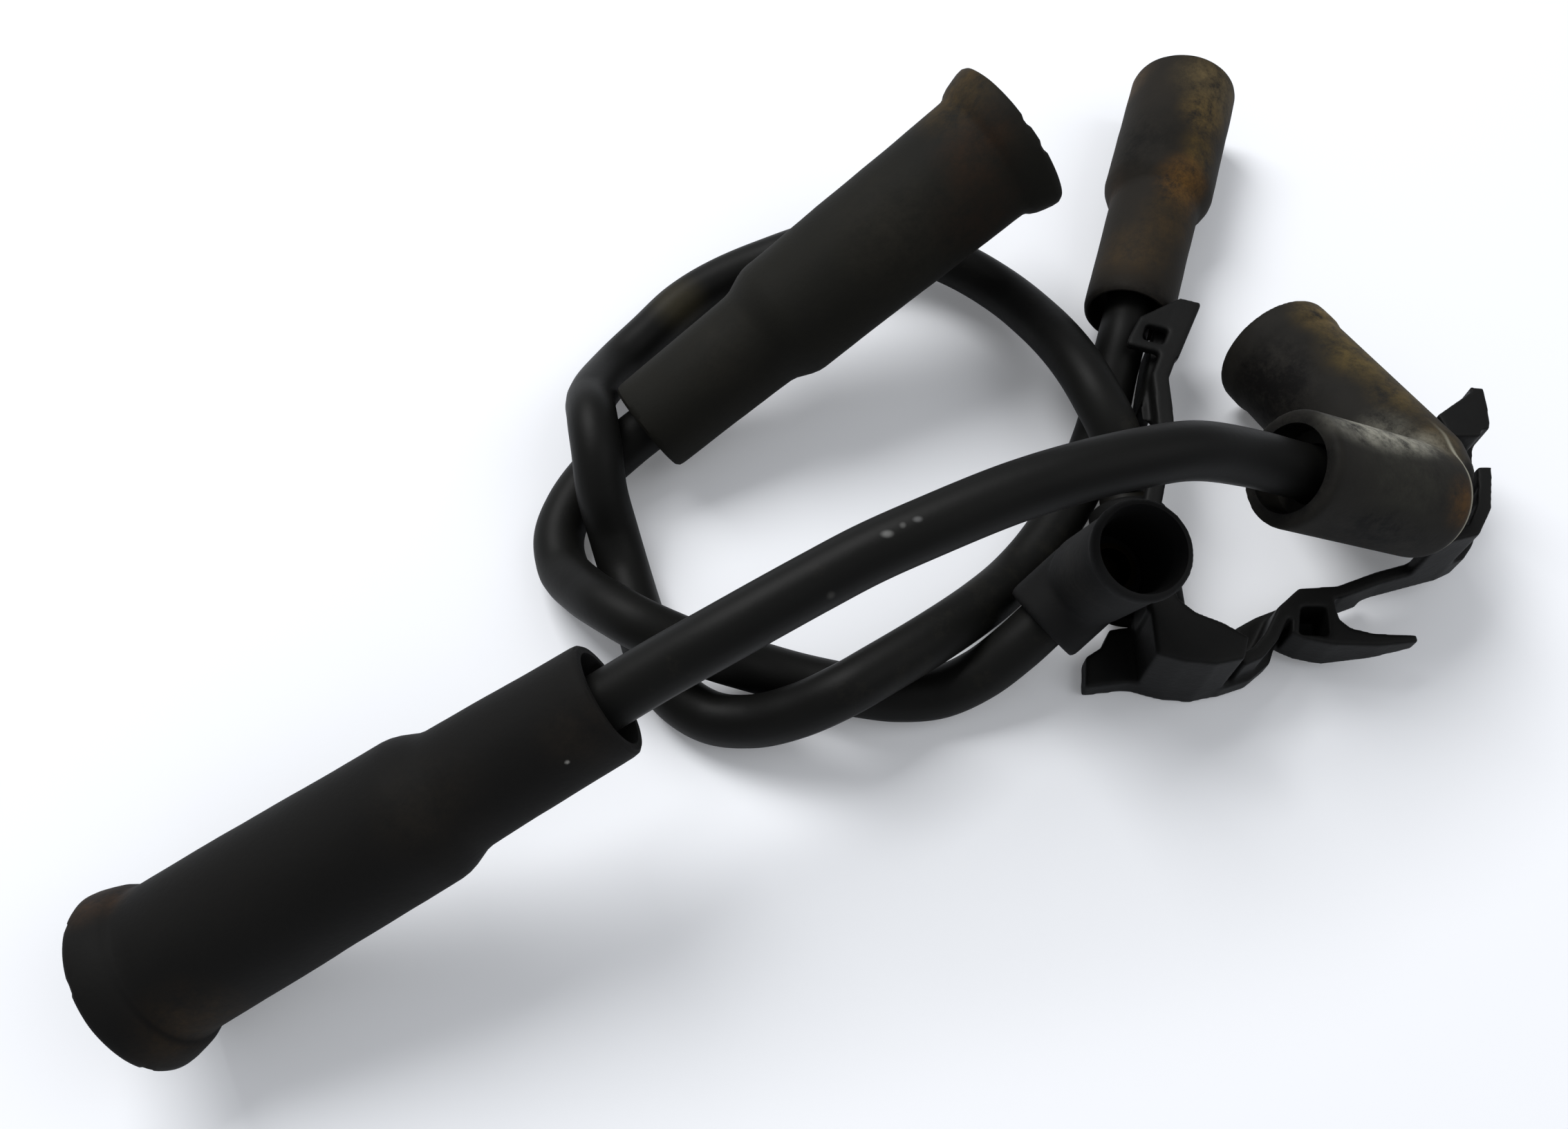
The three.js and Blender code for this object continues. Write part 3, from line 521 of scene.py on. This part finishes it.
for name, place, seed, tears, push in (
        ("plug_boot_front", FRONT_FRAME, 31, FRONT_TEARS, (0.05, 0.15, 0.4)),
        ("plug_boot_rear", REAR_FRAME, 8, REAR_TEARS, (-0.1, 0, 0.2))):
    boot = turned(name.replace("plug_boot", "plug_sleeve"), fine(PLUG_BOOT))
    moulded_skin(boot, depth=0.22, size=9, seed=seed)
    nicked(boot, tears, push)
    place_piece(boot, place)
    smooth(boot)
    plug_boots[name] = boot
    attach(boot, "root")
    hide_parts(name)
# On the front boot, the near-black line across the groove 5.2 mm from the mouth, on one side
# only, is painted shade in that crease; the brown puffs are dust.
plug_boots["plug_boot_front"].data.materials.append(aged_rubber(
    "front_boot_rubber", FRONT_FRAME, ("#0A0A09", "#161514"), [
        ((-9.5, 5, 3), 6, 0.6, "#43301F"), ((2, -10.5, 8), 9, 0.5, "#3A2C18"),
        ((-5, -6, 44), 9, 0.25, "#2C261E"), ((-3, -6, 62), 6, 0.3, "#332B22"),
        ((-1.4, -7.1, 59.3), 0.5, 4, "#A9A7A2")],
    [(2, 5.2, 0.5, (4, -9, 5), 16, 0.7, "#040404")]))
plug_boots["plug_boot_rear"].data.materials.append(aged_rubber(
    "rear_boot_rubber", REAR_FRAME, ("#11110F", "#201F1A"), [
        ((4, 10, 4), 9, 0.75, "#4C3C20"), ((9.5, 3, 7), 8, 0.5, "#3C2818"),
        ((9, 0, 22), 12, 0.3, "#37332B"), ((8, -5, 12), 9, 0.3, "#3A2618"),
        ((7, 3, 50), 9, 0.25, "#2E2B24")]))


# Straight coil boot of the outer lead, and the small straight boot at that lead's other end,
# which the holder keeps under the small elbow. Both are plain rubber tubes with a wide end,
# moulded in one and pushed over the crimped cable.
STRAIGHT_BOOT = [
    (6.8, 0.0), (7.7, 0.0), (8.1, 0.2), (8.24, 0.7), (8.24, 21.6), (8.1, 22.4), (7.6, 23.6),
    (7.1, 24.4), (6.8, 25.0), (6.72, 26.0), (6.6, 45.0), (6.45, 45.6), (6.1, 46.0),
    (5.75, 46.0), (5.6, 45.8), (5.6, 42.0), (3.82, 42.0), (3.82, 37.3), (4.6, 37.3),
    (4.6, 26.0), (6.1, 26.0), (6.1, 2.0), (6.6, 0.3),
]
SMALL_BOOT = [
    (4.9, 0.0), (5.3, 0.0), (5.55, 0.4), (5.58, 4.9), (5.4, 5.6), (5.3, 6.0), (5.3, 14.6),
    (5.0, 15.0), (4.4, 15.0), (4.3, 13.0), (3.82, 13.0), (3.82, 10.3), (4.6, 10.3),
    (4.6, 1.5), (4.85, 0.2),
]
straight_boot = turned("straight_boot", fine(STRAIGHT_BOOT))
moulded_skin(straight_boot, depth=0.2, size=8, seed=55)
place_piece(straight_boot, UPPER_FRAME)
smooth(straight_boot)
# On the straight boot, the near-black puff at 47 mm round the wire end is painted shade; the
# ochre and brown puffs are dust.
straight_boot.data.materials.append(aged_rubber(
    "straight_boot_rubber", UPPER_FRAME, ("#171512", "#2B2721"), [
        ((6.5, 6, 4), 9, 0.8, "#6B5C3E"), ((6, 6, 11), 6, 0.8, "#6E5A32"),
        ((-7, 4, 2), 6, 0.7, "#54432E"), ((6, 5, 18), 5, 0.7, "#5E4B22"),
        ((5, 5.5, 24.5), 6, 0.95, "#705024"), ((4.5, 5, 31), 7, 0.6, "#483820"),
        ((-3, 7.5, 18), 9, 1.2, "#100F0C"), ((-6, 3, 24), 5, 0.5, "#3A2F26"),
        ((0, 6, 39), 8, 0.5, "#4C3B22"), ((0, 0, 47), 10, 2.5, "#0A0909")]))
small_boot = turned("small_boot", fine(SMALL_BOOT))
place_piece(small_boot, LOWER_FRAME)
smooth(small_boot)
small_boot.data.materials.append(aged_rubber(
    "small_boot_rubber", LOWER_FRAME, ("#0B0B0B", "#161615"), []))
for boot, node in ((straight_boot, "coil_boot_straight"), (small_boot, "coil_boot_small")):
    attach(boot, "root")
    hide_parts(node)


# Elbow coil boots, each moulded in one: a coil leg and a wire leg that run into each other
# with a soft fillet and a domed corner. The large one is dusty olive grey, the small one
# stands with its mouth up.
def along_leg(name, profile, leg):
    """A solid turned body that lies along a leg of the elbow."""
    body = turned(name, profile, sides=64, solid=True)
    place_piece(body, leg)
    return body


def combine(body, other, operation):
    """Joins another body to this one, or takes it away, and removes it."""
    tool = body.modifiers.new("combine", 'BOOLEAN')
    tool.operation = operation
    tool.solver = 'EXACT'
    tool.object = other
    pick(body)
    bpy.ops.object.modifier_apply(modifier=tool.name)
    bpy.data.objects.remove(other, do_unlink=True)


def soften(body, voxel, rounds):
    """Melts the parts of a body into one skin of so fine a mesh in mm, then rounds its inner and
    outer corners so many times over."""
    skin = body.modifiers.new("skin", 'REMESH')
    skin.mode = 'VOXEL'
    skin.voxel_size = voxel * MM
    relax = body.modifiers.new("relax", 'SMOOTH')
    relax.factor = 0.5
    relax.iterations = rounds
    pick(body)
    for step in (skin, relax):
        bpy.ops.object.modifier_apply(modifier=step.name)


# A quarter round in parts of its radius: how far in from the side, how far up from the end.
QUARTER_ROUND = ((1, 0), (0.55, 0.11), (0.22, 0.38), (0.05, 0.72), (0, 1))
CRIMP_RADIUS, WIRE_BORE = 4.6, 3.82
ELBOW_MESH, ELBOW_ROUNDS = 0.45, 4


def elbow(name, place, size):
    """Two legs melted together, then the sockets and bores are taken out of the solid. The
    sizes are in mm, each length from the corner, and edges are broken by about half a mm."""
    to_wire = Matrix.Rotation(math.pi / 2 - size["lean"], 4, 'Y')
    radius, length, edge = size["wire_radius"], size["wire_length"], size["round"]
    wire = along_leg(name, [
        *((radius - edge * inset, edge * up - size["overhang"]) for inset, up in QUARTER_ROUND),
        (radius, length - 0.5), (radius - 0.35, length)], to_wire)
    coil_radius, coil_length = size["coil_radius"], size["coil_length"]
    lip_radius, lip_length = size["lip_radius"], size["lip_length"]
    coil = along_leg(name + "_coil", [
        (coil_radius - 1.2, 0), (coil_radius, radius * 0.5),
        (coil_radius, coil_length - lip_length - 0.4), (lip_radius, coil_length - lip_length),
        (lip_radius, coil_length - 0.5), (lip_radius - 0.4, coil_length)], Matrix())
    combine(wire, coil, 'UNION')
    soften(wire, ELBOW_MESH, ELBOW_ROUNDS)
    for label, profile, turn in (
            ("socket", [(size["socket_radius"], size["socket_floor"]),
                        (size["socket_radius"], coil_length - 2),
                        (size["socket_radius"] + 0.5, coil_length - 0.1),
                        (size["socket_radius"] + 0.5, coil_length + 1)], Matrix()),
            ("sleeve_bore", [(size["sleeve_bore"], 0.9),
                             (size["sleeve_bore"], size["socket_floor"] + 0.5)], Matrix()),
            ("crimp_bore", [(CRIMP_RADIUS, -0.3), (CRIMP_RADIUS, size["crimp_end"])], to_wire),
            ("wire_bore", [(WIRE_BORE, 0), (WIRE_BORE, length + 1)], to_wire),
            ("wire_mouth", [(size["mouth_bore"], length - size["mouth_depth"]),
                            (size["mouth_bore"], length + 1)], to_wire)):
        combine(wire, along_leg(name + "_" + label, profile, turn), 'DIFFERENCE')
    place_piece(wire, place)
    smooth(wire, angle=40)
    return wire


large_elbow = elbow("large_elbow_boot", ELBOW_FRAME, {
    "lean": ELBOW_LEAN, "wire_radius": 7.4, "wire_length": ELBOW_WIRE_LENGTH,
    "coil_radius": 8.4, "coil_length": ELBOW_COIL_LENGTH, "lip_radius": ELBOW_LIP_RADIUS,
    "lip_length": 4, "overhang": 0.8, "round": 2.4, "socket_radius": 6.1, "socket_floor": 10,
    "sleeve_bore": 4.2, "crimp_end": 14.3, "mouth_bore": 5.6, "mouth_depth": 4})
# On the large elbow, the two pale grey puffs along the top of the wire leg by the corner are a
# painted highlight, and the near-black puff over the wire leg's mouth end is painted shade. The
# ochre puffs along the coil leg are dust.
large_elbow.data.materials.append(aged_rubber(
    "large_elbow_rubber", ELBOW_FRAME, ("#151412", "#2A2824"), [
        ((13, 4, -3), 12, 0.5, "#3A3A32"), ((-1, 8.5, 30), 8, 0.9, "#705D34"),
        ((1, 8.5, 21), 8, 0.85, "#64542E"), ((1, 8.5, 12), 7, 0.8, "#5C4D2C"),
        ((2, 8, 3), 6, 0.7, "#54462B"), ((13.5, 7.4, 2.4), 4.6, 1.5, "#8E8C80", (3.3, 1, 1)),
        ((8, 5.5, 6.5), 6, 1.1, "#66645A"), ((2.8, 4.2, -5.2), 4.5, 1.2, "#4D3820"),
        ((10, -1, 24), 12, 1.8, "#0C0B0A"), ((27.5, 0, 3), 9.5, 3.5, "#090909"),
        ((14, -2, -5.5), 6, 1.5, "#0D0D0C", (2.5, 1, 1))],
    [(0, 1.2, 0.55, (1, 4.5, -3), 11, 1.6, "#8C897A")]))
small_elbow = elbow("small_elbow_boot", SMALL_ELBOW_FRAME, {
    "lean": SMALL_ELBOW_LEAN, "wire_radius": 5.8, "wire_length": SMALL_ELBOW_WIRE_LENGTH,
    "coil_radius": 6, "coil_length": 19, "lip_radius": 6.3, "lip_length": 1.5, "overhang": 3.4,
    "round": 3, "socket_radius": 4.9, "socket_floor": 6, "sleeve_bore": 3.6, "crimp_end": 6.3,
    "mouth_bore": 3.9, "mouth_depth": 1})
small_elbow.data.materials.append(aged_rubber(
    "small_elbow_rubber", SMALL_ELBOW_FRAME, ("#0D0D0D", "#1A1A1A"), [
        ((6, -3, 10), 8, 0.3, "#302E2A")]))
for boot, node in ((large_elbow, "coil_boot_elbow"), (small_elbow, "coil_boot_small_elbow")):
    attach(boot, "root")
    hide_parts(node)


# Wire holder: one injection moulding in black nylon. Its walls, strap and hooks are thin and
# springy, with rounded edges and a fine satin grain, and it snaps over the boots and cables.
def joined_copy(name, node):
    """The node's shape with its loose triangles joined into one skin."""
    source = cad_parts[node]
    piece = bpy.data.objects.new(name, source.data.copy())
    bpy.context.collection.objects.link(piece)
    piece.data.name = name
    pick(piece)
    bpy.ops.object.mode_set(mode='EDIT')
    bpy.ops.mesh.select_all(action='SELECT')
    bpy.ops.mesh.remove_doubles(threshold=0.005 * MM)
    bpy.ops.object.mode_set(mode='OBJECT')
    piece.data.materials.clear()
    return piece


def block(name, low, high, place):
    """A plain block between two corners in its own frame, in mm."""
    low, high = Vector(low), Vector(high)
    bpy.ops.mesh.primitive_cube_add(size=MM)
    piece = bpy.context.object
    piece.name = name
    piece.scale = high - low
    piece.location = (high + low) / 2 * MM
    bpy.ops.object.transform_apply(location=True, scale=True)
    place_piece(piece, place)
    return piece


def cut_off(piece, place, point, outward):
    """Takes away what lies beyond a plane through a point in the piece's frame."""
    pick(piece)
    bpy.ops.object.mode_set(mode='EDIT')
    bpy.ops.mesh.select_all(action='SELECT')
    bpy.ops.mesh.bisect(plane_co=place @ Vector(point) * MM,
                        plane_no=place.to_3x3() @ Vector(outward).normalized(),
                        use_fill=True, clear_outer=True)
    bpy.ops.object.mode_set(mode='OBJECT')


# Black nylon, moulded in a satin tool: a little smoother than the rubber, so that its flats
# catch a faint sheen. Nylon's IOR is close to the shader's own 1.5, under a film of dirt that
# lowers its specular level. It is mottled in patches of 7 mm. The tool's grain is too fine to
# show, and is drawn 0.6 mm wide.
NYLON_MOTTLE, NYLON_GRAIN = 7.14, 0.625
NYLON_SPECULAR = 0.14
NYLON_ROUGHNESS = (0.42, 0.66)


def moulded_nylon():
    made, tree, shader, place = new_material("moulded_nylon")
    shader.inputs['Specular IOR Level'].default_value = NYLON_SPECULAR
    cloud = add_node(tree, 'ShaderNodeTexNoise', {'Scale': per_metre(NYLON_MOTTLE),
                                                  'Detail': 5.0, 'Roughness': 0.65},
                     {'Vector': place})
    tone = add_node(tree, 'ShaderNodeMix', {'data_type': 'RGBA', 6: linear("#0B0B0B"),
                                            7: linear("#171716")}, {0: cloud.outputs['Fac']})
    gloss = add_node(tree, 'ShaderNodeMapRange', {'To Min': NYLON_ROUGHNESS[0],
                                                  'To Max': NYLON_ROUGHNESS[1]},
                     {'Value': cloud.outputs['Fac']})
    grain = add_node(tree, 'ShaderNodeTexNoise', {'Scale': per_metre(NYLON_GRAIN),
                                                  'Detail': 2.0}, {'Vector': place})
    bump = add_node(tree, 'ShaderNodeBump', {'Strength': 0.3, 'Distance': 0.1 * MM},
                    {'Height': grain.outputs['Fac']})
    tree.links.new(tone.outputs[2], shader.inputs['Base Color'])
    tree.links.new(gloss.outputs[0], shader.inputs['Roughness'])
    tree.links.new(bump.outputs[0], shader.inputs['Normal'])
    return made


# The strap ends in a hook plate with a window. It lies over the cable, just behind the
# straight boot, in a frame with X to the right of the boot, Y up and Z along the boot from its
# mouth. The solid model's clip makes way for it.
HOOK_FRAME = Matrix.Translation(UPPER_FRAME.translation) @ Matrix(
    (Vector((-UPPER_WAY.y, UPPER_WAY.x, 0)), Vector((0, 0, 1)), UPPER_WAY)).transposed().to_4x4()
BOOT_ROOM = ((-1, -9, 38.5), (7.35, 10, 45.7))
STRAP_END = ((-1, -9, 38.5), (12, 10, 44.3))
HOOK_PLATE = ((0.6, 3.8, 44.3), (9.6, 5.2, 54.5))
HOOK_WINDOW = ((2.5, 0, 50.3), (5.9, 9, 53))
# A point on each slanted side of the plate, and the way out of it there.
HOOK_SLANTS = (((6.3, 0, 44.3), (-4.6, 0, -4.6)), ((1.5, 0, 48.6), (-1, 0, -0.2)),
               ((9.4, 0, 44.3), (1, 0, 0.14)))
HOLDER_MESH, HOLDER_ROUNDS = 0.26, 8
holder = joined_copy("moulded_holder", "wire_holder")
combine(holder, block("boot_room", *BOOT_ROOM, HOOK_FRAME), 'DIFFERENCE')
combine(holder, block("strap_end", *STRAP_END, HOOK_FRAME), 'DIFFERENCE')
hook = block("hook_plate", *HOOK_PLATE, HOOK_FRAME)
for point, outward in HOOK_SLANTS:
    cut_off(hook, HOOK_FRAME, point, outward)
combine(hook, block("hook_window", *HOOK_WINDOW, HOOK_FRAME), 'DIFFERENCE')
combine(holder, hook, 'UNION')
soften(holder, HOLDER_MESH, HOLDER_ROUNDS)
smooth(holder, angle=60)
holder.data.materials.append(moulded_nylon())
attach(holder, "root")
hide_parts("wire_holder")


# Terminals and spring rings: pressed brass, crimped to the cable in every boot, and a bright
# wire ring snapped round each plug terminal. They keep the solid model's shape, deep in the
# sockets.
STAIN_SIZE = 3.33
STAIN_DULLS = 0.2


def pressed_metal(name, tones, roughness):
    """Bare metal, pressed or drawn bright: a soft sheen that stains in patches of 3 mm dull."""
    made, tree, shader, place = new_material(name)
    shader.inputs['Metallic'].default_value = 1.0
    stain = add_node(tree, 'ShaderNodeTexNoise', {'Scale': per_metre(STAIN_SIZE), 'Detail': 4.0},
                     {'Vector': place})
    tone = add_node(tree, 'ShaderNodeMix', {'data_type': 'RGBA', 6: linear(tones[0]),
                                            7: linear(tones[1])}, {0: stain.outputs['Fac']})
    gloss = add_node(tree, 'ShaderNodeMapRange', {'To Min': roughness,
                                                  'To Max': roughness + STAIN_DULLS},
                     {'Value': stain.outputs['Fac']})
    tree.links.new(tone.outputs[2], shader.inputs['Base Color'])
    tree.links.new(gloss.outputs[0], shader.inputs['Roughness'])
    return made


# Brass in the large boots is only tarnished, in the small ones it is painted near black as shade
# deep in the bore and shows no more than a glint, and the rings are drawn spring steel, still
# bright.
brass = pressed_metal("tarnished_brass", ("#8A7443", "#B29A62"), 0.3)
brass_painted_shade = pressed_metal("brass_painted_dark_as_shade", ("#0D0B08", "#1E1910"), 0.55)
spring = pressed_metal("spring_wire", ("#8E9094", "#B4B6BA"), 0.25)
for name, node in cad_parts.items():
    if "terminal" in name or "ring" in name:
        node.data.materials.clear()
        metal = brass_painted_shade if "small" in name else brass if "terminal" in name else spring
        node.data.materials.append(metal)
